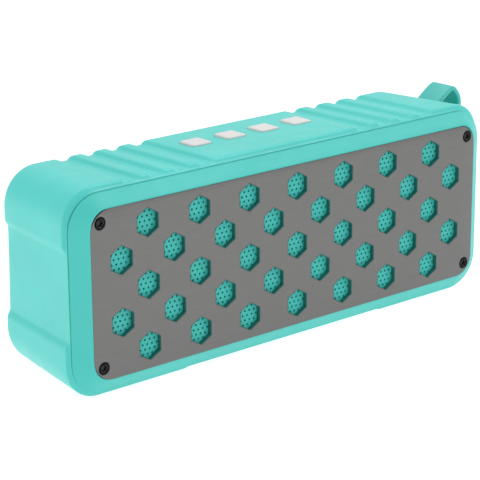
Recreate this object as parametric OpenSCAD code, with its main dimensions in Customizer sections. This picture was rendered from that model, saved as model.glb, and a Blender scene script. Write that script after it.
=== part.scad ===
// Portable bluetooth speaker: a rugged box with a ribbed rubber jacket, a hexagon-cut
// metal front plate, four top keys and a hanging loop on its upper right corner.
// X runs along the width, Y from front to back and Z up. The origin is at the middle of the base.

/* [Body] */
// Overall width over the corner pads
body_w = 189.6; // [181:0.2:204]
// Overall height from the base to the top of the ribs, at the front
body_h = 71.8; // [68:0.2:76]
// Overall depth from the front plate to the rear face
body_d = 46.5; // [44:0.5:56]
// How much narrower each side is at the back
side_taper = 3.7; // [2:0.1:5]
// How much lower the top is at the back
top_fall = 1.2; // [0:0.1:2]
// Corner radius of the pads
pad_r = 12.6; // [12:0.2:16]
// Radius round the rear edge, at the sides and below
rear_r = 1.9; // [1:0.1:4]
// Radius round the rear edge on top
rear_top_r = 3.8; // [3:0.2:6]

/* [Front] */
// Width of the front plate
plate_w = 176; // [170:1:178]
// Height of the front plate
plate_h = 58.1; // [57:0.1:60]
// Thickness of the front plate
plate_t = 1; // [0.8:0.1:1.2]
// Size of a hexagon across its flat sides
hex_flats = 8.8; // [7:0.2:10.4]
// Half the distance between neighbours in a row of hexagons
hex_step = 10.8; // [10.6:0.1:11]
// Distance between rows of hexagons
row_step = 10.64; // [10:0.02:10.8]
// Diameter of a sound hole
sound_hole_d = 0.76; // [0.6:0.04:0.88]
// Distance between sound holes
sound_hole_step = 1.98; // [1.8:0.02:2]

/* [Ribs] */
// Width of a top rib at half its height
rib_w = 4.1; // [3:0.1:5]
// Distance from rib to rib
rib_step = 10.25; // [9.5:0.05:10.5]
// Number of ribs on each side of the key panel
ribs = 3; // [1:1:3]
// Width of the key panel on top
panel_w = 66; // [64:1:70]

/* [Keys] */
// Width of a key
key_w = 8.2; // [7:0.2:10]
// Distance between keys
key_step = 15.33; // [14:0.1:16]
// How far a key stands up out of the panel
key_rise = 0.75; // [0.6:0.05:1.6]

/* [Sound] */
// Diameter of a driver over its flange
driver_d = 52; // [48:1:54]
// Distance of each driver from the middle
driver_x = 56; // [54:1:58]

/* [Hidden] */

$fn = 48;
eps = 0.01;
gap = 0.1;

// Heights above the base and depths behind the face of the front plate
plate_z = 36;
plate_drop = 0.15;
plate_r = 8;
face_d = plate_t;
floor_d = 2.3;
floor_t = 0.8;
floor_back_d = floor_d + floor_t;
parting_d = 4.4;
rib_front_d = 5.6;
skirt_end_d = 7;
baffle_t = 2.5;
housing_d = skirt_end_d + baffle_t;
housing_end_d = 41.5;
cover_t = 2.2;
lip_d = housing_end_d + cover_t;
cover_face_d = body_d - 0.8;

// Outlines, given as half widths and lowest and highest points
pad_proud = 1.2;
bezel_x = body_w / 2 - pad_proud;
bezel_z0 = 1.4;
bezel_z1 = body_h - pad_proud;
bezel_r = 12;
crease_inset = 1.1;
crease_d = 3.4;
bevel_inset = 5.25;
recess_z0 = bezel_z0;
recess_z1 = body_h - pad_proud;
bottom_r = 12;
bottom_r_growth = 3.4;
skirt_x = 90;
skirt_h = 62;
skirt_wall = 2.4;
core_x = 88.2;
core_z0 = 3.3;
core_z1 = 66.7;
core_r = 9;
core_wall = 2.2;
core_mid_z = (core_z0 + core_z1) / 2;
core_h = core_z1 - core_z0;
window_w = 168;
window_h = 53.6;
window_r = 7;
field_w = 172;
field_h = 56;

// Pads and ribs
side_gap_h = 14.8;
side_gap_slope = 2;
side_angle = atan(side_taper / (body_d - parting_d));
bottom_pad_x = 46.1;
bottom_pad_slope = 2.6;
rib_slope = 2.4;
first_rib_x = panel_w / 2 + rib_step - rib_w / 2;
top_pad_x = panel_w / 2 + ribs * rib_step + rib_step - rib_w;

// Screws
plate_screw_x = 83.8;
plate_screw_z = 24.6;
plate_screw_r = 1.5;
plate_head_r = 2.2;
rear_screw_x = 78.5;
rear_screw_z = 21;
rear_screw_r = 1.1;
rear_head_r = 2.1;
baffle_screw_x = 30;
baffle_screw_z = 26.5;
baffle_boss_end_d = 17.5;
boss_r = 3.5;

// Driver: radii, and depths behind the face of the front plate
driver_r = driver_d / 2;
flange_d = 5.6;
flange_t = 1;
cone_r = 16.8;
roll_r = 20.5;
coil_r = 7;
coil_t = 0.4;
yoke_r = 9.6;
yoke_in_r = 7.6;
pole_r = 6.2;
basket_back_d = 16;
yoke_back_d = 26;
driver_screw_ring = 24;
driver_screw_r = 1;

// Passive radiator
radiator_w = 46;
radiator_h = 42;
radiator_r = 14;
radiator_rim = 3;
radiator_roll = 4.5;

// Keys
key_depth = 27.1;
key_r = 0.9;
key_plate_r = 2.2;
key_flange = 0.9;
key_top_z = body_h - top_fall * (key_depth - parting_d) / (body_d - parting_d) + key_rise;
key_flange_z = 66;
key_bottom_z = 63.3;
switch_top_z = 62.7;
key_board_z = 57.6;
board_t = 1.6;
key_board_w = 76;
key_board_d = 14;
key_names = 4;
key_slot_w = 60;
key_slot_d = 13;
mat_z = 64.5;
key_post_x = 34;

// Electronics
main_board_z = 9.5;
board_w = 72;
board_front_d = 18;
board_back_d = 41;
board_top_z = main_board_z + board_t;
post_x = 32;
post_r = 2.5;
socket_face_d = 43.4;
usb_x = -13;
card_x = 0;
aux_x = 13.5;
aux_z = 14.3;
battery_r = 9.2;
battery_len = 65;
battery_d = 30.5;
battery_z = 37;
holder_w = 72;
holder_d = 40.3;
cell_bay = 68;

// Port flap
flap_w = 40.4;
flap_h = 8.4;
flap_z0 = 10.3;
flap_t = 1.6;
pocket_clear = 0.3;
flap_front_d = 43.9;

// Hanging loop
strap_w = 11;
strap_t = 1.8;
strap_mid_d = 25.5;
strap_path = [[87, 66.6], [89.4, 68.7], [95.9, 73], [98.6, 71.9], [100.5, 68.3], [99.9, 63.6],
    [96.8, 59.9], [90.8, 58.6]];
strap_flare = 0.6;

// Turns a flat outline in X and Z into a slab from depth d0 to depth d1
module slab(d0, d1) {
    translate([0, d1 - body_d / 2, 0])
        rotate([90, 0, 0])
            linear_extrude(d1 - d0)
                children();
}

// A turned piece about an axis along the depth, drawn as radius against depth
module turned(x, z) {
    translate([x, -body_d / 2, z])
        rotate([-90, 0, 0])
            rotate_extrude($fn = 64)
                children();
}

// A round rod along the depth
module rod(x, z, r, d0, d1) {
    translate([x, d0 - body_d / 2, z])
        rotate([-90, 0, 0])
            cylinder(r = r, h = d1 - d0);
}

module rounded_rect(w, h, r) {
    square([w - 2 * r, h], center = true);
    square([w, h - 2 * r], center = true);
    for (sx = [-1, 1], sz = [-1, 1])
        translate([sx * (w / 2 - r), sz * (h / 2 - r)])
            circle(r);
}

// Four corner circles for hulls: the upper two and the lower two have their own half width and radius
module body_corners(x_top, x_low, z0, z1, r_top, r_low) {
    for (s = [-1, 1]) {
        translate([s * (x_top - r_top), z1 - r_top])
            circle(r_top, $fn = 64);
        translate([s * (x_low - r_low), z0 + r_low])
            circle(r_low, $fn = 64);
    }
}

module at_four(x, z) {
    for (sx = [-1, 1], sz = [-1, 1])
        translate([sx * x, plate_z + sz * z])
            children();
}

// The staggered field of hexagons, 37 in all
module hexagons() {
    for (column = [-7 : 7], row = [-2 : 2])
        if ((column + row) % 2 == 0)
            translate([column * hex_step, plate_z + row * row_step])
                children();
}

module hexagon(flats) {
    rotate(30)
        circle(flats / sqrt(3), $fn = 6);
}

// Nineteen sound holes in rows of three, four, five, four and three
module sound_holes() {
    for (row = [-2 : 2]) {
        count = 5 - abs(row);
        for (i = [0 : count - 1])
            translate([(i - (count - 1) / 2) * sound_hole_step, row * sound_hole_step * sqrt(3) / 2])
                circle(d = sound_hole_d, $fn = 16);
    }
}

// ---- Front ----

module front_plate() {
    color("#7f8080")
        difference() {
            slab(0, plate_t)
                difference() {
                    translate([0, plate_z - plate_drop])
                        rounded_rect(plate_w, plate_h, plate_r);
                    hexagons()
                        hexagon(hex_flats);
                }
            for (sx = [-1, 1], sz = [-1, 1])
                translate([sx * plate_screw_x, -body_d / 2 - eps, plate_z + sz * plate_screw_z])
                    rotate([-90, 0, 0])
                        cylinder(r1 = plate_head_r + 0.2, r2 = plate_screw_r + gap, h = plate_t + 2 * eps);
        }
}

module plate_screw(x, z) {
    tip_d = 23;
    star_w = 2.4;
    star_deep = 1.3;
    difference() {
        turned(x, z)
            polygon([[0, 0], [plate_head_r - 0.2, 0], [plate_head_r, 0.15], [plate_screw_r, plate_t + 0.05],
                [plate_screw_r, tip_d - 1], [plate_screw_r - 0.6, tip_d], [0, tip_d]]);
        for (a = [0, 60, 120])
            translate([x, star_deep / 2 - body_d / 2 - eps, z])
                rotate([0, a, 0])
                    cube([star_w, star_deep, star_w / 3], center = true);
    }
}

module plate_screws() {
    color("#161616")
        for (sx = [-1, 1], sz = [-1, 1])
            plate_screw(sx * plate_screw_x, plate_z + sz * plate_screw_z);
}

// One outline of the bezel, drawn in from its outer edge
module bezel_step(inset, d) {
    slab(d, d + eps)
        body_corners(bezel_x - inset, bezel_x - inset, bezel_z0 + inset, bezel_z1 - inset,
            bezel_r - inset, bezel_r - inset);
}

// The rim round the plate: a wide bevel, a crease and a rounded outer edge
module bezel_rim() {
    edge_t = parting_d - crease_d;
    difference() {
        hull() {
            bezel_step(bevel_inset, face_d);
            for (a = [0, 30, 60])
                bezel_step(crease_inset * (1 - sin(a)), parting_d - edge_t * cos(a));
            bezel_step(0, parting_d - eps);
        }
        slab(face_d - 1, parting_d + 1)
            translate([0, plate_z])
                square([field_w, field_h], center = true);
    }
}

module front_panel() {
    color("#4fc6bc") {
        bezel_rim();
        slab(face_d, floor_d)
            difference() {
                translate([0, plate_z])
                    square([field_w, field_h], center = true);
                hexagons()
                    hexagon(hex_flats);
                at_four(plate_screw_x, plate_screw_z)
                    circle(plate_screw_r + gap);
            }
        slab(floor_d, floor_back_d)
            difference() {
                translate([0, plate_z])
                    square([field_w, field_h], center = true);
                hexagons()
                    sound_holes();
                at_four(plate_screw_x, plate_screw_z)
                    circle(plate_screw_r + gap);
            }
        slab(parting_d, skirt_end_d)
            translate([0, plate_z])
                difference() {
                    rounded_rect(2 * skirt_x, skirt_h, 9);
                    rounded_rect(2 * (skirt_x - skirt_wall), skirt_h - 2 * skirt_wall, 9 - skirt_wall);
                }
        slab(floor_back_d, skirt_end_d)
            difference() {
                at_four(plate_screw_x, plate_screw_z)
                    circle(3);
                at_four(plate_screw_x, plate_screw_z)
                    circle(plate_screw_r + gap);
            }
    }
}

module grille_cloth() {
    color("#101212")
        slab(floor_back_d, floor_back_d + 0.3)
            difference() {
                translate([0, plate_z])
                    rounded_rect(172, 54, 5);
                at_four(plate_screw_x, plate_screw_z)
                    circle(3.4);
            }
}

// ---- Jacket ----

// How far an edge of radius r round the rear has drawn in at depth d
function drawn_in(r, d) = r - sqrt(r * r - pow(max(0, d - body_d + r), 2));

// A tapered block from the parting line to the rear, rounded along its rear edge
module tapered_block(x, z0, z1, r_top, r_low) {
    hull() {
        slab(parting_d, parting_d + eps)
            body_corners(x, x, z0, z1, r_top, r_low);
        for (from_rear = [1, 0.7, 0.45, 0.2, 0.06, 0]) {
            d = body_d - from_rear * rear_top_r;
            along = (d - parting_d) / (body_d - parting_d);
            top_inset = drawn_in(rear_top_r, d);
            low_inset = drawn_in(rear_r, d);
            slab(d - eps, d)
                body_corners(x - side_taper * along - top_inset, x - side_taper * along - low_inset,
                    z0 + low_inset, z1 - top_fall * along - top_inset,
                    r_top - top_inset * 0.6, r_low + bottom_r_growth * along - low_inset * 0.6);
        }
    }
}

// One raised bar on top, with sloped flanks: x0 and x1 are its edges at half height
module top_bar(x0, x1) {
    low = recess_z1 - 4;
    run = rib_slope / 2;
    polygon([[x0 - run - 1, low], [x0 - run, recess_z1 - top_fall - 0.6], [x0 + run, body_h + 1],
        [x1 - run, body_h + 1], [x1 + run, recess_z1 - top_fall - 0.6], [x1 + run + 1, low]]);
}

// Everything that stands up from the recessed skin of the jacket, seen from the front
module raised_outline() {
    top_bar(-panel_w / 2, panel_w / 2);
    for (s = [-1, 1]) {
        for (i = [0 : ribs - 1])
            translate([s * (first_rib_x + i * rib_step), 0])
                top_bar(-rib_w / 2, rib_w / 2);
        // Corner pads, joined here down the side
        polygon([[s * (top_pad_x - 1), recess_z1 - 4], [s * (top_pad_x - 1), recess_z1 - top_fall - 0.6],
            [s * (top_pad_x + 1), body_h + 1], [s * body_w, body_h + 1], [s * body_w, -1],
            [s * (bottom_pad_x + bottom_pad_slope), -1], [s * (bottom_pad_x - 3 * bottom_pad_slope), 3],
            [s * (bezel_x - 14), 6], [s * (bezel_x - 14), recess_z1 - 6]]);
    }
}

// The stretch of one side between its two pads, cut along the taper of the side
module side_gap(s) {
    inside = 2;
    outside = 4;
    translate([s * bezel_x, parting_d - body_d / 2, plate_z])
        rotate([0, 0, s * side_angle])
            rotate([90, 0, 0])
                linear_extrude(3 * body_d, center = true)
                    polygon([[-s * inside, side_gap_slope * inside - side_gap_h],
                        [-s * inside, side_gap_h - side_gap_slope * inside],
                        [s * outside, side_gap_h + side_gap_slope * outside],
                        [s * outside, -side_gap_h - side_gap_slope * outside]]);
}

// A point at u along the loop's path, where each whole number is one of the points it passes through
function strap_point(u) =
    let (last = len(strap_path) - 1,
        i = max(0, min(floor(u), last - 1)),
        t = u - i,
        before = strap_path[max(i - 1, 0)],
        from = strap_path[i],
        to = strap_path[i + 1],
        after = strap_path[min(i + 2, last)])
    (2 * from + t * (to - before) + t * t * (2 * before - 5 * from + 4 * to - after)
        + t * t * t * (3 * from - before - 3 * to + after)) / 2;

// The same point moved sideways off the path
function strap_side(u, away) =
    let (along = strap_point(u + 0.01) - strap_point(u - 0.01))
    strap_point(u) + away * [-along[1], along[0]] / norm(along);

// Half the thickness of the loop, which grows at both ends so that the jacket holds it
function strap_half(u) =
    let (from_end = min(u, len(strap_path) - 1 - u))
    strap_t / 2 + strap_flare * max(0, 1 - 2 * from_end);

// The loop's band as a flat outline, grown by extra
module strap_outline(extra) {
    steps = 4 * (len(strap_path) - 1);
    polygon(concat([for (k = [0 : steps]) strap_side(k / 4, strap_half(k / 4) + extra)],
        [for (k = [steps : -1 : 0]) strap_side(k / 4, -strap_half(k / 4) - extra)]));
}

module key_holes(grow) {
    for (i = [0 : key_names - 1])
        translate([(i - 1.5) * key_step, key_depth - body_d / 2, key_flange_z - 8])
            linear_extrude(20)
                rounded_rect(key_w + 2 * grow, key_w + 2 * grow, key_r + grow);
}

module jacket() {
    color("#5fd0c8")
        difference() {
            union() {
                tapered_block(bezel_x, recess_z0, recess_z1, bezel_r, bezel_r);
                difference() {
                    intersection() {
                        tapered_block(body_w / 2, 0, body_h, pad_r, bottom_r);
                        slab(rib_front_d, body_d + 1)
                            raised_outline();
                    }
                    side_gap(-1);
                    side_gap(1);
                }
            }
            slab(parting_d - 1, skirt_end_d)
                translate([0, plate_z])
                    rounded_rect(2 * (skirt_x + gap), skirt_h + 2 * gap, 9 + gap);
            slab(skirt_end_d - eps, lip_d)
                translate([0, core_mid_z])
                    rounded_rect(2 * (core_x + gap), core_h + 2 * gap, core_r + gap);
            slab(lip_d - eps, body_d + 1)
                translate([0, plate_z])
                    rounded_rect(window_w, window_h, window_r);
            key_holes(0.3);
            slab(strap_mid_d - strap_w / 2 - gap, strap_mid_d + strap_w / 2 + gap)
                strap_outline(gap);
        }
}

module strap_loop() {
    color("#55c9c0")
        slab(strap_mid_d - strap_w / 2, strap_mid_d + strap_w / 2)
            strap_outline(0);
}

// ---- Housing ----

module core_outline() {
    translate([0, core_mid_z])
        rounded_rect(2 * core_x, core_h, core_r);
}

module housing() {
    color("#1c1f21")
        difference() {
            union() {
                slab(housing_d, housing_end_d)
                    difference() {
                        union() {
                            difference() {
                                core_outline();
                                translate([0, core_mid_z])
                                    rounded_rect(2 * (core_x - core_wall), core_h - 2 * core_wall,
                                        core_r - core_wall);
                            }
                            at_four(plate_screw_x - 0.8, plate_screw_z)
                                circle(boss_r);
                            at_four(rear_screw_x, rear_screw_z)
                                circle(boss_r - 0.5);
                        }
                        at_four(plate_screw_x, plate_screw_z)
                            circle(plate_screw_r);
                        at_four(rear_screw_x, rear_screw_z)
                            circle(rear_screw_r);
                    }
                slab(housing_d, baffle_boss_end_d)
                    difference() {
                        at_four(baffle_screw_x, baffle_screw_z)
                            circle(3);
                        at_four(baffle_screw_x, baffle_screw_z)
                            circle(rear_screw_r);
                    }
                // Posts that the key board hangs from, and posts under the main board
                for (s = [-1, 1]) {
                    translate([s * key_post_x, key_depth - body_d / 2, key_board_z + board_t])
                        cylinder(r = post_r, h = core_z1 - core_wall / 2 - key_board_z - board_t);
                    for (d = [board_front_d + 3, board_back_d - 4])
                        translate([s * post_x, d - body_d / 2, core_z0 + core_wall / 2])
                            cylinder(r = post_r, h = main_board_z - core_z0 - core_wall / 2);
                }
            }
            translate([-key_slot_w / 2, key_depth - key_slot_d / 2 - body_d / 2, core_z1 - core_wall - 1])
                cube([key_slot_w, key_slot_d, core_wall + 2]);
            for (s = [-1, 1]) {
                translate([s * key_post_x, key_depth - body_d / 2, key_board_z])
                    cylinder(r = rear_screw_r, h = 7.5);
                for (d = [board_front_d + 3, board_back_d - 4])
                    translate([s * post_x, d - body_d / 2, core_z0 + core_wall])
                        cylinder(r = rear_screw_r, h = 6);
            }
        }
}

module baffle() {
    color("#25282a")
        slab(skirt_end_d, housing_d)
            difference() {
                core_outline();
                for (s = [-1, 1])
                    translate([s * driver_x, plate_z]) {
                        circle(roll_r + 1.2, $fn = 96);
                        for (a = [45 : 90 : 315])
                            rotate(a)
                                translate([driver_screw_ring, 0])
                                    circle(driver_screw_r);
                    }
                translate([0, plate_z])
                    rounded_rect(radiator_w - 2 * radiator_rim, radiator_h - 2 * radiator_rim,
                        radiator_r - radiator_rim);
                at_four(plate_screw_x, plate_screw_z)
                    circle(plate_screw_r + gap);
                at_four(baffle_screw_x, baffle_screw_z)
                    circle(rear_screw_r + gap);
            }
}

// A small cross-head screw along the depth; way is 1 when it points to the back
module small_screw(x, z, head_d, length, way) {
    head_t = 1.2;
    translate([x, head_d - body_d / 2, z])
        rotate([-90 * way, 0, 0])
            difference() {
                union() {
                    translate([0, 0, -head_t])
                        cylinder(r = rear_head_r, h = head_t);
                    cylinder(r = rear_screw_r, h = length);
                }
                for (a = [0, 90])
                    rotate(a)
                        translate([0, 0, -head_t])
                            cube([2, 0.5, 1.2], center = true);
            }
}

module baffle_screws() {
    color("#a9adb1")
        for (sx = [-1, 1], sz = [-1, 1])
            small_screw(sx * baffle_screw_x, plate_z + sz * baffle_screw_z, skirt_end_d, 10, 1);
}

module rear_cover() {
    color("#3fb1a8")
        difference() {
            union() {
                slab(housing_end_d, lip_d)
                    core_outline();
                slab(lip_d, cover_face_d)
                    translate([0, plate_z])
                        rounded_rect(window_w - 2 * gap, window_h - 2 * gap, window_r - gap);
            }
            // Holes and recesses for the screws
            for (sx = [-1, 1], sz = [-1, 1]) {
                rod(sx * rear_screw_x, plate_z + sz * rear_screw_z, rear_screw_r + gap,
                    housing_end_d - 1, body_d);
                rod(sx * rear_screw_x, plate_z + sz * rear_screw_z, rear_head_r + 0.4, lip_d, body_d);
            }
            // Pocket for the flap, and the openings in its floor
            translate([-flap_w / 2 - pocket_clear, lip_d - body_d / 2, flap_z0 - pocket_clear])
                cube([flap_w + 2 * pocket_clear, 5, flap_h + 2 * pocket_clear]);
            translate([usb_x - 4.7, housing_end_d - 1 - body_d / 2, board_top_z - 0.2])
                cube([9.4, 5, 3.6]);
            translate([card_x - 6.8, housing_end_d - 1 - body_d / 2, board_top_z - 0.2])
                cube([13.6, 5, 2.4]);
            rod(aux_x, aux_z, 3 + gap, housing_end_d - 1, body_d);
            rod(30, flap_z0 + flap_h / 2, 1.2, housing_end_d - 1, body_d);
            // Groove for the seal
            slab(housing_end_d - 1, housing_end_d + 0.6)
                translate([0, core_mid_z])
                    difference() {
                        rounded_rect(2 * core_x - 1.2, core_h - 1.2, core_r - 0.6);
                        rounded_rect(2 * core_x - 3.6, core_h - 3.6, core_r - 1.8);
                    }
        }
}

module rear_seal() {
    color("#2b2d2e")
        slab(housing_end_d, housing_end_d + 0.6)
            translate([0, core_mid_z])
                difference() {
                    rounded_rect(2 * core_x - 1.4, core_h - 1.4, core_r - 0.7);
                    rounded_rect(2 * core_x - 3.4, core_h - 3.4, core_r - 1.7);
                }
}

module rear_screws() {
    color("#161616")
        for (sx = [-1, 1], sz = [-1, 1])
            small_screw(sx * rear_screw_x, plate_z + sz * rear_screw_z, lip_d, 12, -1);
}

// ---- Drivers: side is -1 for the left one and 1 for the right one ----

module driver_frame(side) {
    color("#3a3d40")
        difference() {
            turned(side * driver_x, plate_z)
                polygon([[roll_r - 1.5, flange_d], [driver_r, flange_d], [driver_r, flange_d + flange_t],
                    [roll_r + 0.8, flange_d + flange_t], [roll_r + 0.8, 9], [14.5, basket_back_d - 1.4],
                    [14.5, basket_back_d], [yoke_in_r, basket_back_d], [yoke_in_r, basket_back_d - 0.8],
                    [13.7, basket_back_d - 0.8], [13.7, basket_back_d - 1.8], [roll_r, 8.6],
                    [roll_r, flange_d + 0.8], [roll_r - 1.5, flange_d + 0.8]]);
            for (a = [45 : 90 : 315])
                translate([side * driver_x, -body_d / 2, plate_z])
                    rotate([0, a, 0])
                        translate([driver_screw_ring, flange_d - 1, 0])
                            rotate([-90, 0, 0])
                                cylinder(r = driver_screw_r + gap, h = 4);
            for (a = [0 : 90 : 270])
                translate([side * driver_x, -body_d / 2, plate_z])
                    rotate([0, a, 0])
                        translate([12, 9.6, -4.5])
                            cube([12, 4.4, 9]);
        }
}

module driver_gasket(side) {
    color("#2b2d2e")
        slab(flange_d + flange_t, skirt_end_d)
            translate([side * driver_x, plate_z])
                difference() {
                    circle(driver_r, $fn = 96);
                    circle(roll_r + 1.2, $fn = 96);
                    for (a = [45 : 90 : 315])
                        rotate(a)
                            translate([driver_screw_ring, 0])
                                circle(driver_screw_r + gap);
                }
}

// Half-round roll between the cone and the frame
module driver_surround(side) {
    mid_r = (cone_r + roll_r - 1.8) / 2 + 0.4;
    roll = 1.15;
    color("#1a1b1c")
        turned(side * driver_x, plate_z)
            difference() {
                union() {
                    translate([mid_r, flange_d])
                        circle(roll, $fn = 32);
                    translate([mid_r, flange_d - 0.5])
                        square([roll_r - 0.7 - mid_r, 0.5]);
                }
                translate([mid_r, flange_d])
                    circle(roll - 0.4, $fn = 32);
                translate([mid_r - 2, flange_d])
                    square([6, 3]);
            }
}

module driver_cone(side) {
    color("#2a2c2e")
        turned(side * driver_x, plate_z)
            polygon([[cone_r, 6.6], [cone_r, 7.1], [coil_r, 12], [coil_r, 11.4]]);
}

module driver_dust_cap(side) {
    cap_h = 2;
    cap_back_d = 10.5;
    dome_r = (coil_r * coil_r + cap_h * cap_h) / (2 * cap_h);
    color("#222426")
        turned(side * driver_x, plate_z)
            intersection() {
                translate([0, cap_back_d - cap_h + dome_r])
                    difference() {
                        circle(dome_r, $fn = 128);
                        circle(dome_r - 0.4, $fn = 128);
                    }
                square([coil_r - 0.1, cap_back_d]);
            }
}

module driver_voice_coil(side) {
    color("#b06a35")
        turned(side * driver_x, plate_z)
            translate([coil_r - coil_t, 10.5])
                square([coil_t, 8]);
}

module driver_spider(side) {
    color("#c9a24a")
        turned(side * driver_x, plate_z)
            polygon([[coil_r + 0.3, 14], [8.6, 14.5], [10, 14], [11.4, 14.5], [12.8, 14], [13.6, 14],
                [13.6, 14.3], [12.8, 14.3], [11.4, 14.8], [10, 14.3], [8.6, 14.8], [coil_r + 0.3, 14.3]]);
}

module driver_yoke(side) {
    color("#8f9498")
        turned(side * driver_x, plate_z)
            polygon([[yoke_in_r, basket_back_d], [yoke_r, basket_back_d], [yoke_r, yoke_back_d],
                [0, yoke_back_d], [0, yoke_back_d - 2], [yoke_in_r, yoke_back_d - 2]]);
}

module driver_magnet(side) {
    color("#5c5f63")
        rod(side * driver_x, plate_z, pole_r - 0.3, 19, yoke_back_d - 2);
}

module driver_pole_plate(side) {
    color("#a4a8ac")
        rod(side * driver_x, plate_z, pole_r, 16.6, 19);
}

module frame_left() { driver_frame(-1); }
module gasket_left() { driver_gasket(-1); }
module surround_left() { driver_surround(-1); }
module cone_left() { driver_cone(-1); }
module dust_cap_left() { driver_dust_cap(-1); }
module voice_coil_left() { driver_voice_coil(-1); }
module spider_left() { driver_spider(-1); }
module yoke_left() { driver_yoke(-1); }
module magnet_left() { driver_magnet(-1); }
module pole_plate_left() { driver_pole_plate(-1); }
module frame_right() { driver_frame(1); }
module gasket_right() { driver_gasket(1); }
module surround_right() { driver_surround(1); }
module cone_right() { driver_cone(1); }
module dust_cap_right() { driver_dust_cap(1); }
module voice_coil_right() { driver_voice_coil(1); }
module spider_right() { driver_spider(1); }
module yoke_right() { driver_yoke(1); }
module magnet_right() { driver_magnet(1); }
module pole_plate_right() { driver_pole_plate(1); }

module driver_screws() {
    color("#a9adb1")
        for (side = [-1, 1], a = [45 : 90 : 315])
            translate([side * driver_x, -body_d / 2, plate_z])
                rotate([0, a, 0])
                    translate([driver_screw_ring, flange_d, 0])
                        rotate([-90, 0, 0]) {
                            translate([0, 0, -0.9])
                                cylinder(r = 1.7, h = 0.9);
                            cylinder(r = driver_screw_r, h = 4.6);
                        }
}

// ---- Passive radiator ----

module radiator_frame() {
    color("#303336")
        slab(flange_d + 0.4, skirt_end_d)
            translate([0, plate_z])
                difference() {
                    rounded_rect(radiator_w, radiator_h, radiator_r);
                    rounded_rect(radiator_w - 2 * radiator_rim, radiator_h - 2 * radiator_rim,
                        radiator_r - radiator_rim);
                }
}

module radiator_surround() {
    inner = radiator_rim + radiator_roll;
    color("#1a1b1c")
        slab(flange_d - 0.4, flange_d + 0.4)
            translate([0, plate_z])
                difference() {
                    rounded_rect(radiator_w - 1, radiator_h - 1, radiator_r - 0.5);
                    rounded_rect(radiator_w - 2 * inner, radiator_h - 2 * inner, radiator_r - inner);
                }
}

module radiator_plate() {
    inner = radiator_rim + radiator_roll + 0.3;
    color("#2f3234")
        slab(flange_d + 0.1, flange_d + 2.6)
            translate([0, plate_z])
                rounded_rect(radiator_w - 2 * inner, radiator_h - 2 * inner, radiator_r - inner);
}

// ---- Keys ----

// A key cap: its face, its flange under the jacket and the stem that presses the switch
module key_cap(index) {
    chamfer = 0.35;
    color("#eeeceb")
        translate([(index - 1.5) * key_step, key_depth - body_d / 2, 0]) {
            translate([0, 0, key_flange_z])
                linear_extrude(key_top_z - key_flange_z - chamfer)
                    rounded_rect(key_w, key_w, key_r);
            translate([0, 0, key_top_z - chamfer])
                linear_extrude(chamfer)
                    rounded_rect(key_w - 2 * chamfer, key_w - 2 * chamfer, key_r - chamfer);
            translate([0, 0, key_bottom_z])
                cylinder(r = 1.8, h = key_flange_z - key_bottom_z);
            translate([0, 0, key_flange_z])
                linear_extrude(0.6)
                    rounded_rect(key_w + 2 * key_flange, key_w + 2 * key_flange, key_plate_r);
        }
}

module key_power() { key_cap(0); }
module key_minus() { key_cap(1); }
module key_play() { key_cap(2); }
module key_plus() { key_cap(3); }

module key_mat() {
    color("#3b3f41")
        translate([0, key_depth - body_d / 2, mat_z])
            linear_extrude(0.6)
                difference() {
                    rounded_rect(key_slot_w - 0.4, key_slot_d - 0.4, 1);
                    for (i = [0 : key_names - 1])
                        translate([(i - 1.5) * key_step, 0])
                            circle(2.2);
                }
}

module key_board() {
    color("#1f6b45")
        translate([0, key_depth - body_d / 2, key_board_z])
            linear_extrude(board_t)
                difference() {
                    rounded_rect(key_board_w, key_board_d, 1);
                    for (s = [-1, 1])
                        translate([s * key_post_x, 0])
                            circle(rear_screw_r + gap);
                }
}

module key_switches() {
    color("#c8ccd0")
        for (i = [0 : key_names - 1])
            translate([(i - 1.5) * key_step, key_depth - body_d / 2, key_board_z + board_t]) {
                translate([-3, -3, 0])
                    cube([6, 6, 2.4]);
                cylinder(r = 1.6, h = switch_top_z - key_board_z - board_t);
            }
}

module key_board_screws() {
    color("#a9adb1")
        for (s = [-1, 1])
            translate([s * key_post_x, key_depth - body_d / 2, key_board_z - 1.2]) {
                cylinder(r = rear_head_r, h = 1.2);
                cylinder(r = rear_screw_r, h = 6);
            }
}

// Flat cable from the key board down to the main board
module ribbon_cable() {
    cable_d = 14.8;
    color("#d8d3c4")
        translate([-6, 0, 0]) {
            slab(cable_d, cable_d + 0.4)
                translate([0, board_top_z + 1])
                    square([12, key_board_z - board_top_z - 1.4]);
            slab(cable_d, key_depth - 3)
                translate([0, key_board_z - 0.4])
                    square([12, 0.4]);
            slab(cable_d, board_front_d + 3)
                translate([0, board_top_z + 0.6])
                    square([12, 0.4]);
        }
}

// ---- Electronics ----

module main_board() {
    color("#1f6b45")
        difference() {
            translate([-board_w / 2, board_front_d - body_d / 2, main_board_z])
                cube([board_w, board_back_d - board_front_d, board_t]);
            for (s = [-1, 1], d = [board_front_d + 3, board_back_d - 4])
                translate([s * post_x, d - body_d / 2, main_board_z - 1])
                    cylinder(r = rear_screw_r + gap, h = board_t + 2);
        }
}

module board_screws() {
    color("#a9adb1")
        for (s = [-1, 1], d = [board_front_d + 3, board_back_d - 4])
            translate([s * post_x, d - body_d / 2, board_top_z]) {
                cylinder(r = rear_head_r, h = 1.2);
                translate([0, 0, -5])
                    cylinder(r = rear_screw_r, h = 5);
            }
}

module on_board(x, d, w, depth, h) {
    translate([x - w / 2, d - body_d / 2, board_top_z])
        cube([w, depth, h]);
}

module radio_module() {
    color("#c2c6ca") {
        on_board(-23, 24, 12, 11, 0.8);
        on_board(-23, 24.6, 10.8, 9.8, 2);
    }
}

module amplifier_chip() {
    color("#26282a")
        on_board(13, 20, 7, 5, 1.6);
}

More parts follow.
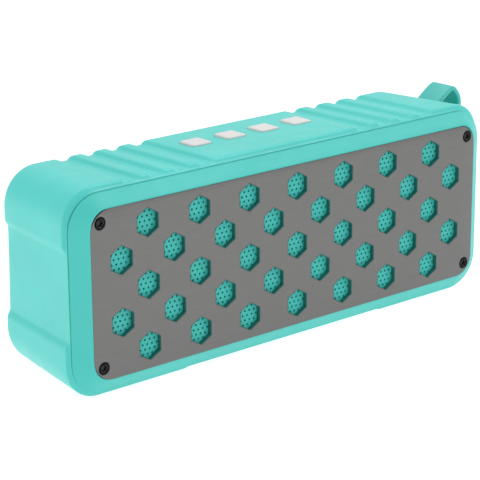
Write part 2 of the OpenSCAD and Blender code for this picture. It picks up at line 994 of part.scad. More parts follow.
module capacitors() {
    color("#2d3f66")
        for (x = [22, 27])
            translate([x, 30 - body_d / 2, board_top_z])
                cylinder(d = 4.6, h = 6);
}

module battery() {
    color("#3556a5")
        translate([-battery_len / 2, battery_d - body_d / 2, battery_z])
            rotate([0, 90, 0]) {
                cylinder(r = battery_r, h = battery_len);
                translate([0, 0, battery_len])
                    cylinder(r = 2.8, h = 0.8);
            }
}

// Tray on the rear cover with two saddles that hold the cell from behind
module battery_holder() {
    tray_h = 22;
    color("#2c2f31")
        difference() {
            union() {
                translate([-holder_w / 2, holder_d - body_d / 2, battery_z - tray_h / 2])
                    cube([holder_w, housing_end_d - holder_d, tray_h]);
                for (s = [-1, 1]) {
                    translate([s * 22 - 3, battery_d + 2 - body_d / 2, battery_z - tray_h / 2])
                        cube([6, holder_d + gap - battery_d - 2, tray_h]);
                    translate([s * (holder_w / 2 - 1) - 1, battery_d - 4 - body_d / 2,
                        battery_z - tray_h / 2])
                        cube([2, holder_d + gap - battery_d + 4, tray_h]);
                }
            }
            translate([-cell_bay / 2, battery_d - body_d / 2, battery_z])
                rotate([0, 90, 0])
                    cylinder(r = battery_r + gap, h = cell_bay);
        }
}

module battery_foam() {
    color("#4a4d50")
        slab(battery_d + battery_r + 0.05, holder_d)
            translate([-15, battery_z - 6])
                square([30, 12]);
}

module usb_socket() {
    color("#b9bdc1")
        difference() {
            on_board(usb_x, 36, 9, socket_face_d - 36, 3.2);
            translate([usb_x - 3.9, 37 - body_d / 2, board_top_z + 0.35])
                cube([7.8, 8, 2.5]);
        }
}

module card_socket() {
    color("#b9bdc1")
        difference() {
            on_board(card_x, 29, 13.2, socket_face_d - 29, 1.9);
            translate([card_x - 5.7, 30 - body_d / 2, board_top_z + 0.4])
                cube([11.4, 15, 1.1]);
        }
}

module aux_jack() {
    color("#1b1c1e")
        difference() {
            union() {
                on_board(aux_x, 29, 7, 12, 5.8);
                rod(aux_x, aux_z, 3, 40.5, socket_face_d);
            }
            rod(aux_x, aux_z, 1.8, socket_face_d - 14, socket_face_d + 1);
        }
}

module port_flap() {
    color("#2f9d95")
        slab(flap_front_d, flap_front_d + flap_t)
            translate([-flap_w / 2, flap_z0]) {
                square([flap_w, flap_h]);
            }
}

module led_lens() {
    color("#e6f3f2")
        rod(30, flap_z0 + flap_h / 2, 1.15, housing_end_d, cover_face_d);
}

front_plate();
plate_screws();
front_panel();
grille_cloth();
jacket();
housing();
baffle();
baffle_screws();
rear_cover();
rear_seal();
rear_screws();
frame_left();
gasket_left();
surround_left();
cone_left();
dust_cap_left();
voice_coil_left();
spider_left();
yoke_left();
magnet_left();
pole_plate_left();
frame_right();
gasket_right();
surround_right();
cone_right();
dust_cap_right();
voice_coil_right();
spider_right();
yoke_right();
magnet_right();
pole_plate_right();
driver_screws();
radiator_frame();
radiator_surround();
radiator_plate();
key_power();
key_minus();
key_play();
key_plus();
key_mat();
key_board();
key_switches();
key_board_screws();
ribbon_cable();
main_board();
board_screws();
radio_module();
amplifier_chip();
capacitors();
battery();
battery_holder();
battery_foam();
usb_socket();
card_socket();
aux_jack();
port_flap();
led_lens();
strap_loop();
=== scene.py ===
"""Portable bluetooth speaker: camera, light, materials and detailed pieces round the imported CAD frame.

Shapes are worked out in millimetres. X runs along the width, depths are counted back from the face
of the front plate, and Z is the height above the base.
"""
import math

import bmesh
import bpy
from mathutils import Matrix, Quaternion, Vector, geometry


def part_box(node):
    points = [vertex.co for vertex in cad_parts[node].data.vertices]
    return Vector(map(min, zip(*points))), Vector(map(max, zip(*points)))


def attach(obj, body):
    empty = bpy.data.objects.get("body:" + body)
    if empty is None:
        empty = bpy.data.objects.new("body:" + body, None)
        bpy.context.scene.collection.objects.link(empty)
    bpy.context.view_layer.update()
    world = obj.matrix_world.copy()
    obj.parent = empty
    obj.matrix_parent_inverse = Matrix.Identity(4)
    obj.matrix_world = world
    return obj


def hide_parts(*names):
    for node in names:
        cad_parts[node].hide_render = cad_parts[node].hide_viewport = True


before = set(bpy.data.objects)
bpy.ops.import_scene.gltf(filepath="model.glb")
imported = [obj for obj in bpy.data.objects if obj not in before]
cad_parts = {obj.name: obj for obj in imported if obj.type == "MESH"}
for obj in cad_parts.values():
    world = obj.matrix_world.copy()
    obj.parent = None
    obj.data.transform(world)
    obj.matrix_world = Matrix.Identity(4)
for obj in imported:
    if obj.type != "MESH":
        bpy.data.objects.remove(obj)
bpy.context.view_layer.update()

MM = 0.001


def corners(node):
    """Lowest and highest corner of a CAD node, in millimetres."""
    low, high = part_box(node)
    return low / MM, high / MM


# ---- Places taken from the CAD frame ----

plate_low, plate_high = corners("front_plate")
panel_low, panel_high = corners("front_panel")
PLATE_TRIM = 0.4         # how much narrower than its CAD node the plate is at each side
FRONT_Y = plate_low.y
BODY_DEPTH = corners("jacket")[1].y - FRONT_Y
PLATE_HALF_W = plate_high.x - PLATE_TRIM
PLATE_HALF_H = (plate_high.z - plate_low.z) / 2
PLATE_MID_Z = (plate_high.z + plate_low.z) / 2
PLATE_T = plate_high.y - plate_low.y
SKIN_HALF_W = panel_high.x
SKIN_Z0 = panel_low.z
SKIN_Z1 = panel_high.z
MID_Z = (SKIN_Z0 + SKIN_Z1) / 2
SHARP = 35               # faces that meet at more degrees than this get a sharp edge

# Below, a rounded rectangle is given as its half width, half height and corner radius.

# ---- Sizes of the jacket ----

PARTING = 4.4            # depth of the line between bezel and jacket
SLOT_HALF = 0.28         # half the width of that line
TOP_EDGE_DROP = 1.0      # how far the top dips towards that line
TOP_EDGE_END = 5.6       # depth where the dip ends
PROUD = 1.2              # how far ribs and pads stand up
TAPER = 3.7              # how much each side comes in towards the rear
TOP_FALL = 1.2           # how much the top comes down towards the rear
SKIN_R = 12.0            # corner radius of the recessed skin
PAD_R_EXTRA = 0.6        # how much larger the corner radius of the pads is
LOW_R_GROWTH = 3.4       # the lower corners open up towards the rear
REAR_TOP_R = 3.8         # radius round the rear edge on top
REAR_R = 1.9             # radius round the rear edge at the sides and below
REAR_SHRINK = 0.6        # how fast the corners tighten where the rear edge draws in
FLANK = 2.1              # width of a rib's sloped flank
RIB_HALF = 2.55          # half width of a rib at half height
RIB_STEP = 10.25
RIB_W = 4.1              # width of a rib in the CAD, from which ribs and pads are placed
PANEL_HALF = 33.0        # half width of the key panel
RIBS = 3
PAD_EDGE = PANEL_HALF + (RIBS + 1) * RIB_STEP - RIB_W
SIDE_GAP = 16.0          # half height of the gap in each side, at half height of its ends
SIDE_FLANK = 3.2         # height of the slopes at those ends
BASE_EDGE = 44.3         # where the lower pads start
BASE_FLANK = 3.6         # width of their slopes
TOP_ZONE = 25.0          # points further than this above or below the middle lie on top or below
SIDE_ZONE = 80.0         # other points further than this from the middle lie on a side
RAMP_START = 5.0         # the pads and ribs rise between these two depths
RAMP_END = 6.1
SLOT_FLOOR = 1.2         # how far in the slot at the parting line reaches on the jacket's side
SKIRT = (90.0, 31.0, 9.0)        # the skirt of the bezel, which the jacket grips
SKIRT_WALL = 2.4
SKIRT_GAP = 0.1
SKIRT_END = 7.0
CORE = (88.3, 31.8, 9.1)         # the jacket's inside behind the skirt
CORE_DROP = 1.0          # how much lower than the front that inside sits
LIP = 43.7               # depth where the jacket's rear lip starts
WINDOW = (84.0, 26.8, 7.0)       # the opening in that lip

# ---- Sizes of the front ----

FACE = PLATE_T           # depth of the panel behind the plate
FLOOR = 1.75             # depth of a pocket's floor at its edge
DISH = 0.1               # how much deeper the middle of that floor is
FLOOR_BACK = 3.1         # depth of the panel's rear face
PANEL = (86.6, 28.0, 4.4)
HEX_FLATS = 8.8          # size of a hexagon across its flat sides
HEX_STEP = 10.8          # half the distance between neighbours in a row
ROW_STEP = 10.64
HOLE_R = 0.41            # radius of a sound hole
HOLE_STEP = 1.95
PLATE_R = 7.6
BEZEL_WIDEN = 1.1        # the bezel is this much wider at the sides than on top
BEZEL_CREST = 5.0        # inset up to which the bezel follows the dip in the top
PLATE_SCREW_R = 2.2
PLATE_SCREW_HOLE = 1.6
PLATE_SCREW = (83.8, 24.6)       # x and z from the middle

# Section of the bezel from its inner edge outwards and back: inset from the outline, and depth
BEZEL_PROFILE = [(6.6, FACE + 0.05), (5.66, FACE + 0.05), (5.66, 0.24), (5.4, 0.24), (5.1, 0.36),
                 (3.2, 1.85), (1.4, 3.2), (1.2, 3.32), (1.05, 3.42), (0.9, 3.52), (0.55, 3.74),
                 (0.25, 3.95), (0.04, 4.0), (0.0, 4.05), (0.03, 4.09), (0.1, PARTING - SLOT_HALF),
                 (1.6, PARTING - SLOT_HALF), (1.6, PARTING)]

# ---- Sizes of the keys ----

KEYS = {"key_power": "key_power_cap", "key_minus": "key_minus_cap", "key_play": "key_play_cap",
        "key_plus": "key_plus_cap"}
KEY_HALF = 4.1           # half width of a key
KEY_R = 0.9
KEY_GAP = 0.25           # gap between a key and the jacket
KEY_STEM = (1.8, 1.8, 1.79)
KEY_FLANGE_R = 2.0
KEY_FLANGE_Z = 2.7       # height of the flange above the foot of the stem
KEY_FLANGE_T = 0.6
KEY_BEVEL = [(0.0, 0.45), (0.06, 0.25), (0.2, 0.1), (0.42, 0.02), (0.8, 0.0)]    # inset and drop
KEY_CUT = (-14.0, 6.0)   # reach of the cut for a key, from the top of the key

# ---- Screw heads ----

HEAD_R = 2.6             # radius of the head that these radii and depths are given for
HEAD_EDGE = [(2.6, 0.3), (2.58, 0.1), (2.5, 0.01), (2.4, 0.02)]
HEAD_RING = [(2.3, 0.12), (2.15, 0.4), (2.0, 0.42), (1.9, 0.2), (1.78, 0.04), (1.66, 0.0), (1.54, 0.08),
             (1.46, 0.25)]
HEAD_STAR = [(1.36, 1.0, 0.3), (1.26, 0.9, 0.45), (1.1, 0.78, 0.8)]      # outer and inner radius, and depth
HEAD_T = 1.05            # thickness of a screw's head
SHANK_TIP = 0.4          # length of the tapered tip
SHANK_SHORT = 0.5        # how much shorter than the CAD screw the shank is

# ---- Sizes of the back ----

COVER_FRONT = 41.5       # depths of the rear cover's inner and outer face
COVER_FACE = 45.7
COVER_GAP = 0.1
REAR_SCREW = (78.5, 21.0)        # x and z from the middle
REAR_SCREW_R = 2.1
REAR_SCREW_HOLE = 1.2
REAR_RECESS_R = 2.5
POCKET_GAP = 0.3         # gap round the flap
USB_OPENING = (-13.0, 14.8, 4.7, 1.8)    # x, z, half width and half height
CARD_OPENING = (0.0, 14.2, 6.8, 1.2)
OPENING_R = 0.6
AUX_OPENING = (13.5, 14.3, 3.1)          # x, z and radius
LED_X = 30.0
FLAP_R = 0.4
THUMB = (2.6, 2.2, 1.2)          # hollow for the thumb in the flap
THUMB_INSET = 5.0        # how far from the end of the flap its middle is

# ---- Hanging loop ----

# Points that the middle line of the loop goes through, as x and z
STRAP_PATH = [(87, 66.6), (89.4, 68.7), (95.9, 73), (98.6, 71.9), (100.5, 68.3), (99.9, 63.6),
              (96.8, 59.9), (90.8, 58.6)]
STRAP_STEPS = 12         # rings from one of those points to the next
STRAP_T = 1.8
STRAP_W = 11.0
STRAP_EDGE_R = 0.55
STRAP_DEPTH = 25.5       # depth of the middle line
STRAP_FLARE = 0.6        # how much thicker each half gets at the ends

# ---- The photograph's view, and its light ----

VIEW_AZIMUTH = 39.878    # direction of view in degrees, turned from the Y axis towards X
VIEW_ELEVATION = 17.509
VIEW_ROLL = -0.401
VIEW_FROM = (-0.4236, -0.4758, 0.2028)   # camera's place in metres, from the middle of the front
LENS = 144.3
SENSOR = 36.0
SKY_STRENGTH = 0.68
FLOOR_HALF = 6.0         # half the side of the floor, in metres
FLOOR_GLOW = 0.88


# ---- Small helpers ----

def mix(a, b, t):
    return a + (b - a) * t


def smooth(t):
    """0 below 0, 1 above 1 and a smooth S between."""
    t = min(max(t, 0.0), 1.0)
    return t * t * (3 - 2 * t)


def grown(size, by):
    """A rounded rectangle that is larger all round."""
    return tuple(value + by for value in size)


def srgb(red, green, blue):
    """A colour as seen on screen, 0 to 255, turned into linear values."""
    def linear(value):
        value /= 255
        return value / 12.92 if value <= 0.04045 else ((value + 0.055) / 1.055) ** 2.4
    return linear(red), linear(green), linear(blue), 1.0


# ---- Outlines in the plane of the front ----

def flank_points(edge, flank):
    """Seven places across a sloped flank whose middle is at edge."""
    return [edge + flank * (k / 6 - 0.5) for k in range(7)]


def rib_centres():
    return [PANEL_HALF + RIB_STEP * (i + 1) - RIB_W / 2 for i in range(RIBS)]


def rib_edges():
    """Where ribs, panel and pads cross half height on top, from the middle outwards."""
    edges = [PANEL_HALF]
    for centre in rib_centres():
        edges += [centre - RIB_HALF, centre + RIB_HALF]
    return edges + [PAD_EDGE]


# Where the points of an outline lie: along its top, down its sides, along its base and round its corners
TOP_X = [4.0, 12.0, 20.0, 28.0] + [x for edge in rib_edges() for x in flank_points(edge, FLANK)]
TOP_X = sorted(set(round(x, 4) for x in TOP_X))
SIDE_ENDS = flank_points(SIDE_GAP, SIDE_FLANK)
SIDE_Z = sorted(SIDE_ENDS + [10.0, 5.0, 0.0, -5.0, -10.0] + [-z for z in SIDE_ENDS], reverse=True)
SIDE_Z = [MID_Z + z for z in SIDE_Z]
BASE_X = [5.0, 15.0, 25.0, 35.0] + flank_points(BASE_EDGE, BASE_FLANK)
ARC = [math.radians(a) for a in range(0, 91, 6)]
BETWEEN = (0.25, 0.5, 0.75)


def outline(x_top, x_low, z0, z1, r_top, r_low):
    """A rounded outline whose points keep their places from one depth to the next."""
    high, low = z1 - r_top, z0 + r_low

    def side_x(z):
        return mix(x_low, x_top, (z - low) / (high - low))

    levels = [mix(high, SIDE_Z[0], t) for t in BETWEEN] + SIDE_Z + [mix(SIDE_Z[-1], low, t) for t in BETWEEN]
    half = [(x, z1) for x in TOP_X]
    half += [(mix(TOP_X[-1], x_top - r_top, t), z1) for t in BETWEEN]
    half += [(x_top - r_top + r_top * math.sin(a), high + r_top * math.cos(a)) for a in ARC]
    half += [(side_x(z), z) for z in levels]
    half += [(x_low - r_low + r_low * math.cos(a), low - r_low * math.sin(a)) for a in ARC]
    half += [(mix(x_low - r_low, BASE_X[-1], t), z0) for t in BETWEEN]
    half += [(x, z0) for x in reversed(BASE_X)]
    return half + [(-x, z) for x, z in reversed(half)]


def plain_outline(half_w, half_h, r, z=MID_Z):
    """A rounded rectangle whose points match those of outline."""
    return outline(half_w, half_w, z - half_h, z + half_h, r, r)


def rounded_box(half_w, half_h, r, steps=8):
    """A rounded rectangle about the middle, with points on its corners only."""
    points = []
    for quarter, (sx, sz) in enumerate(((1, 1), (-1, 1), (-1, -1), (1, -1))):
        for k in range(steps + 1):
            a = math.radians(90 * (quarter + k / steps))
            points.append((sx * (half_w - r) + r * math.cos(a), sz * (half_h - r) + r * math.sin(a)))
    return points


def circle(r, count=16):
    return [(r * math.cos(math.tau * k / count), r * math.sin(math.tau * k / count)) for k in range(count)]


def hexagon(flats, r=0.35):
    """A hexagon standing on a corner, with slightly rounded corners."""
    reach = flats / math.sqrt(3)
    points = []
    for k in range(6):
        a = math.radians(30 + 60 * k)
        inner = reach - 2 * r / math.sqrt(3)
        for turn in (-30, 0, 30):
            b = a + math.radians(turn)
            points.append((inner * math.cos(a) + r * math.cos(b), inner * math.sin(a) + r * math.sin(b)))
    return points


def moved(points, x, z):
    return [(px + x, pz + z) for px, pz in points]


def hexagon_places():
    return [(column * HEX_STEP, MID_Z + row * ROW_STEP)
            for column in range(-7, 8) for row in range(-2, 3) if (column + row) % 2 == 0]


def screw_places(half_x, half_z):
    return [(sx * half_x, MID_Z + sz * half_z) for sx in (-1, 1) for sz in (-1, 1)]


# ---- Meshes made of rings ----

class Shell:
    """A mesh made of closed rings of points that are bridged, and filled at their ends."""

    def __init__(self):
        self.points = []
        self.faces = []

    def add(self, points):
        first = len(self.points)
        self.points += [Vector(p) for p in points]
        return list(range(first, len(self.points)))

    def at_depth(self, points, depth):
        """Adds a ring that faces the front, from x and z."""
        return self.add((x, FRONT_Y + depth, z) for x, z in points)

    def on_dish(self, points, x, z):
        """Puts points on the dished floor of the pocket whose middle is at x and z."""
        ring = []
        for px, pz in points:
            from_middle = math.hypot(px - x, pz - z) / (HEX_FLATS / 2)
            ring.append((px, FRONT_Y + FLOOR + DISH * (1 - from_middle ** 2), pz))
        return self.add(ring)

    def at_height(self, points, x, depth, z):
        """Adds a level ring round x and depth."""
        return self.add((x + px, FRONT_Y + depth + py, z) for px, py in points)

    def bridge(self, *rings):
        for a, b in zip(rings, rings[1:]):
            for i in range(len(a)):
                j = (i + 1) % len(a)
                self.faces.append((a[i], a[j], b[j], b[i]))

    def cap(self, ring):
        self.faces.append(tuple(ring))

    def fill(self, outer, holes, flat=(0, 2)):
        """Fills the sheet between an outer ring and the holes in it with triangles."""
        keys, edges = [], []
        for ring in [outer] + holes:
            first = len(keys)
            keys += ring
            edges += [(first + i, first + (i + 1) % len(ring)) for i in range(len(ring))]
        flat_points = [Vector((self.points[k][flat[0]], self.points[k][flat[1]])) for k in keys]
        inside_only = 1
        found = geometry.delaunay_2d_cdt(flat_points, edges, [], inside_only, 1e-6)
        source = [keys[origin[0]] for origin in found[3]]
        ring_of = {k: number for number, ring in enumerate([outer] + holes) for k in ring}
        for face in found[2]:
            triangle = [source[v] for v in face]
            touched = {ring_of[k] for k in triangle}
            if len(touched) > 1 or touched == {0}:
                self.faces.append(tuple(triangle))

    def item(self, name):
        """Turns the shell into a Blender object, with its faces turned outwards."""
        mesh = bpy.data.meshes.new(name)
        mesh.from_pydata([p * MM for p in self.points], [], self.faces)
        work = bmesh.new()
        work.from_mesh(mesh)
        bmesh.ops.recalc_face_normals(work, faces=work.faces)
        work.to_mesh(mesh)
        work.free()
        item = bpy.data.objects.new(name, mesh)
        bpy.context.scene.collection.objects.link(item)
        return item

    def piece(self, name, material, body, slot, replaces, sharp=SHARP):
        """Turns the shell into a piece of the speaker that rides on a body."""
        item = self.item(name)
        item.data.materials.append(material)
        smooth_faces(item.data, sharp)
        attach(item, body)
        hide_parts(*replaces)
        return item


def smooth_faces(mesh, sharp):
    mesh.shade_smooth()
    mesh.set_sharp_from_angle(angle=math.radians(sharp))


def cut(item, shell):
    """Takes the shape of a shell out of a piece for good."""
    cutter = shell.item("cutter")
    modifier = item.modifiers.new("cut", "BOOLEAN")
    modifier.operation = "DIFFERENCE"
    modifier.solver = "EXACT"
    modifier.object = cutter
    ready = item.evaluated_get(bpy.context.evaluated_depsgraph_get())
    mesh = bpy.data.meshes.new_from_object(ready)
    item.modifiers.clear()
    item.data = mesh
    bpy.data.objects.remove(cutter)
    smooth_faces(mesh, SHARP)


# ---- Materials ----

BAND_STEP = 1 / 3.18     # how far apart the bands of a wave texture are at scale 1


class Look:
    """Builds one procedural material round a Principled shader."""

    def __init__(self, name, roughness=0.5, metallic=0.0, **sockets):
        self.material = bpy.data.materials.new(name)
        self.material.use_nodes = True
        self.nodes = self.material.node_tree.nodes
        self.links = self.material.node_tree.links
        self.shader = self.nodes["Principled BSDF"]
        self.shader.inputs["Roughness"].default_value = roughness
        self.shader.inputs["Metallic"].default_value = metallic
        for socket, value in sockets.items():
            self.shader.inputs[socket.replace("_", " ")].default_value = value
        self.place = self.nodes.new("ShaderNodeTexCoord").outputs["Object"]
        self.bump_from = None

    def noise(self, size, detail=3.0, stretch=(1, 1, 1)):
        """Noise whose blobs are about size millimetres, drawn out along an axis by stretch."""
        mapping = self.nodes.new("ShaderNodeMapping")
        mapping.inputs["Scale"].default_value = [1 / (size * MM * s) for s in stretch]
        self.links.new(self.place, mapping.inputs["Vector"])
        noise = self.nodes.new("ShaderNodeTexNoise")
        noise.inputs["Scale"].default_value = 1.0
        noise.inputs["Detail"].default_value = detail
        self.links.new(mapping.outputs["Vector"], noise.inputs["Vector"])
        return noise.outputs["Fac"]

    def weave(self, size):
        """A plain weave of crossing threads, size millimetres apart, seen from the front."""
        waves = []
        for axis in ("X", "Z"):
            wave = self.nodes.new("ShaderNodeTexWave")
            wave.bands_direction = axis
            wave.inputs["Scale"].default_value = BAND_STEP / (size * MM)
            self.links.new(self.place, wave.inputs["Vector"])
            waves.append(wave.outputs["Fac"])
        join = self.nodes.new("ShaderNodeMath")
        join.operation = "MAXIMUM"
        self.links.new(waves[0], join.inputs[0])
        self.links.new(waves[1], join.inputs[1])
        return join.outputs["Value"]

    def colour(self, source, low, high, start=0.3, end=0.7):
        """The base colour runs from low to high as the source goes from start to end."""
        ramp = self.nodes.new("ShaderNodeValToRGB")
        ramp.color_ramp.elements[0].position = start
        ramp.color_ramp.elements[0].color = low
        ramp.color_ramp.elements[1].position = end
        ramp.color_ramp.elements[1].color = high
        self.links.new(source, ramp.inputs["Fac"])
        self.links.new(ramp.outputs["Color"], self.shader.inputs["Base Color"])
        return self

    def rough(self, source, low, high):
        """The roughness runs from low to high where the source is low or high."""
        spread = self.nodes.new("ShaderNodeMapRange")
        spread.inputs["From Min"].default_value = 0.3
        spread.inputs["From Max"].default_value = 0.7
        spread.inputs["To Min"].default_value = low
        spread.inputs["To Max"].default_value = high
        self.links.new(source, spread.inputs["Value"])
        self.links.new(spread.outputs["Result"], self.shader.inputs["Roughness"])
        return self

    def bump(self, source, height, strength=1.0):
        """Raises the surface by up to height millimetres where the source is high."""
        bump = self.nodes.new("ShaderNodeBump")
        bump.inputs["Distance"].default_value = height * MM
        bump.inputs["Strength"].default_value = strength
        self.links.new(source, bump.inputs["Height"])
        if self.bump_from:
            self.links.new(self.bump_from, bump.inputs["Normal"])
        self.bump_from = bump.outputs["Normal"]
        self.links.new(self.bump_from, self.shader.inputs["Normal"])
        return self


def shade(colour, factor):
    """The same colour, lighter or darker."""
    return tuple(min(c * factor, 1.0) for c in colour[:3]) + (1.0,)


def moulded(name, colour, roughness=0.45, grain=0.25, height=0.012, spread=0.06, **sockets):
    """Moulded rubber or plastic: faint cloudiness, a fine spark-eroded grain, uneven gloss."""
    look = Look(name, roughness, **sockets)
    look.colour(look.noise(26, 2.0), shade(colour, 1 - spread), shade(colour, 1 + spread))
    look.rough(look.noise(7, 3.0), roughness - 0.05, roughness + 0.06)
    look.bump(look.noise(grain, 2.0), height)
    return look.material


def brushed(name, colour, roughness, along=(60, 1, 1), size=0.22, spread=0.12, metallic=1.0, **sockets):
    """Metal with a fine brushed grain along X."""
    look = Look(name, roughness, metallic, **sockets)
    look.colour(look.noise(size, 4.0, along), shade(colour, 1 - spread), shade(colour, 1 + spread))
    look.rough(look.noise(size * 1.7, 3.0, along), roughness - 0.07, roughness + 0.07)
    look.bump(look.noise(size, 3.0, along), 0.006)
    return look.material


def cast(name, colour, roughness=0.4, spread=0.15):
    """Plated or bare metal with faint mottling."""
    look = Look(name, roughness, 1.0)
    look.colour(look.noise(3.5, 4.0), shade(colour, 1 - spread), shade(colour, 1 + spread))
    look.rough(look.noise(1.2, 3.0), roughness - 0.1, roughness + 0.1)
    look.bump(look.noise(0.4, 3.0), 0.008)
    return look.material


def fibrous(name, colour, size=0.5, roughness=0.85):
    """Pressed paper fibre."""
    look = Look(name, roughness)
    look.colour(look.noise(size, 6.0, (4, 1, 1)), shade(colour, 0.8), shade(colour, 1.25))
    look.bump(look.noise(size, 6.0, (1, 4, 4)), 0.03)
    return look.material


def woven(name, colour, thread=0.35, roughness=0.8):
    """Cloth of crossing threads."""
    look = Look(name, roughness)
    threads = look.weave(thread)
    look.colour(threads, shade(colour, 0.35), shade(colour, 1.3), 0.35, 0.95)
    look.bump(threads, 0.06)
    return look.material


MATERIALS = {
    "jacket_rubber": moulded("jacket_rubber", srgb(75, 204, 196), 0.36, 0.3, 0.01, 0.03),
    "bezel_plastic": moulded("bezel_plastic", srgb(68, 197, 188), 0.5, 0.22, 0.005, 0.02),
    # the bezel's teal plastic, darkened as painted shade for the recessed pockets
    "pocket_shaded_plastic": moulded("pocket_shaded_plastic", srgb(54, 186, 177), 0.55, 0.22, 0.005, 0.03),
    "strap_rubber": moulded("strap_rubber", srgb(60, 184, 176), 0.42, 0.3, 0.01, 0.03),
    # painted shade: a dark teal for the sleeves that stand for the shadow inside the hexagon pockets
    "shade_sleeve_paint": moulded("shade_sleeve_paint", srgb(24, 104, 97), 0.5, 0.22, 0.005, 0.03),
    "plate_metal": brushed("plate_metal", srgb(117, 117, 116), 0.42, (50, 1, 1), 0.12, 0.05),
    "black_screw": moulded("black_screw", srgb(9, 9, 10), 0.22, 0.2, 0.004, 0.2,
                           Specular_IOR_Level=0.35),
    "cloth": woven("cloth", srgb(22, 24, 25)),
    "housing_plastic": moulded("housing_plastic", srgb(30, 33, 35), 0.5),
    "cover_plastic": moulded("cover_plastic", srgb(62, 176, 168), 0.46, 0.5, 0.03, 0.05),
    "seal_rubber": moulded("seal_rubber", srgb(36, 38, 40), 0.7, 0.4, 0.02),
    "zinc": cast("zinc", srgb(190, 192, 196)),
    "frame_steel": cast("frame_steel", srgb(70, 72, 76), 0.45),
    "surround_rubber": moulded("surround_rubber", srgb(28, 28, 30), 0.55, 0.4, 0.02),
    "paper_cone": fibrous("paper_cone", srgb(52, 52, 54)),
    "copper": brushed("copper", srgb(200, 120, 70), 0.3, (1, 30, 1), 0.15),
    "spider_cloth": woven("spider_cloth", srgb(190, 150, 80), 0.5),
    "motor_steel": cast("motor_steel", srgb(165, 168, 172), 0.35),
    "magnet": cast("magnet", srgb(60, 60, 64), 0.6),
    "key_plastic": moulded("key_plastic", srgb(216, 214, 213), 0.35, 0.35, 0.006, 0.02),
    "board_green": moulded("board_green", srgb(24, 92, 58), 0.4, 2.0, 0.03, 0.25),
    "parts_metal": cast("parts_metal", srgb(200, 200, 204), 0.3),
    "cable_film": brushed("cable_film", srgb(205, 160, 90), 0.35, (1, 40, 1), 0.5, 0.2, 0.0),
    "chip_black": moulded("chip_black", srgb(30, 31, 33), 0.55, 0.25, 0.01),
    "cap_sleeve": moulded("cap_sleeve", srgb(28, 42, 88), 0.3, 0.6, 0.01, 0.15),
    "cell_wrap": moulded("cell_wrap", srgb(46, 110, 176), 0.28, 1.5, 0.02, 0.1),
    "flap_rubber": moulded("flap_rubber", srgb(48, 160, 152), 0.55, 0.3, 0.015, 0.05),
    "lens_clear": moulded("lens_clear", srgb(225, 240, 238), 0.12, 0.8, 0.004, 0.02,
                          Transmission_Weight=0.6),
}

# Which carried-over CAD nodes take which material
NODE_LOOKS = {
    "plate_metal": ["front_plate"],
    "black_screw": ["plate_screws", "rear_screws"],
    "bezel_plastic": ["front_panel"],
    "cloth": ["grille_cloth"],
    "jacket_rubber": ["jacket", "strap_loop"],
    "housing_plastic": ["housing", "baffle", "radiator_frame", "battery_holder"],
    "zinc": ["baffle_screws", "driver_screws", "key_board_screws", "board_screws"],
    "cover_plastic": ["rear_cover"],
    "seal_rubber": ["rear_seal", "key_mat", "battery_foam", "gasket_left", "gasket_right"],
    "surround_rubber": ["radiator_surround", "surround_left", "surround_right"],
    "frame_steel": ["radiator_plate", "frame_left", "frame_right"],
    "key_plastic": ["key_power", "key_minus", "key_play", "key_plus"],
    "board_green": ["key_board", "main_board"],
    "parts_metal": ["key_switches", "radio_module", "usb_socket", "card_socket"],
    "cable_film": ["ribbon_cable"],
    "chip_black": ["amplifier_chip", "aux_jack"],
    "cap_sleeve": ["capacitors"],
    "cell_wrap": ["battery"],
    "flap_rubber": ["port_flap"],
    "lens_clear": ["led_lens"],
    "paper_cone": ["cone_left", "cone_right", "dust_cap_left", "dust_cap_right"],
    "copper": ["voice_coil_left", "voice_coil_right"],
    "spider_cloth": ["spider_left", "spider_right"],
    "motor_steel": ["yoke_left", "yoke_right", "pole_plate_left", "pole_plate_right"],
    "magnet": ["magnet_left", "magnet_right"],
}


def dress_cad_nodes():
    for look, names in NODE_LOOKS.items():
        for name in names:
            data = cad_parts[name].data
            data.materials.clear()
            data.materials.append(MATERIALS[look])


# ---- The jacket ----

def drawn_in(r, depth):
    """How far an edge of radius r round the rear has drawn in at a depth."""
    return r - math.sqrt(max(r * r - max(0.0, depth - BODY_DEPTH + r) ** 2, 0.0))


def block_outline(depth, grow, inset=0.0):
    """Outline of the jacket at a depth: grow is 0 on the recessed skin and 1 on the pads."""
    along = (depth - PARTING) / (BODY_DEPTH - PARTING)
    top_inset = drawn_in(REAR_TOP_R, depth)
    low_inset = drawn_in(REAR_R, depth)
    dip = TOP_EDGE_DROP * (1 - smooth((depth - PARTING) / (TOP_EDGE_END - PARTING)))
    x = SKIN_HALF_W + PROUD * grow - TAPER * along - inset
    return outline(x - top_inset, x - low_inset, SKIN_Z0 * (1 - grow) + low_inset + inset,
                   SKIN_Z1 + PROUD * grow - TOP_FALL * along - top_inset - inset - dip,
                   SKIN_R + PAD_R_EXTRA * grow - top_inset * REAR_SHRINK,
                   SKIN_R + LOW_R_GROWTH * along - low_inset * REAR_SHRINK)


def top_height(x):
    """Profile across the top: key panel, ribs and pads."""
    height = smooth((PANEL_HALF - x) / FLANK + 0.5) + smooth((x - PAD_EDGE) / FLANK + 0.5)
    for centre in rib_centres():
        height += smooth((RIB_HALF - abs(x - centre)) / FLANK + 0.5)
    return min(height, 1.0)


def skin_height(x, z, depth):
    """How far a point of the skin stands up, from 0 in the recess to 1 on a pad or rib."""
    x, z = abs(x), z - MID_Z
    height = 1.0
    if z > TOP_ZONE:
        height = top_height(x)
    elif z < -TOP_ZONE:
        height = smooth((x - BASE_EDGE) / BASE_FLANK + 0.5)
    elif x > SIDE_ZONE:
        height = smooth((abs(z) - SIDE_GAP) / SIDE_FLANK + 0.5)
    return height * smooth((depth - RAMP_START) / (RAMP_END - RAMP_START))


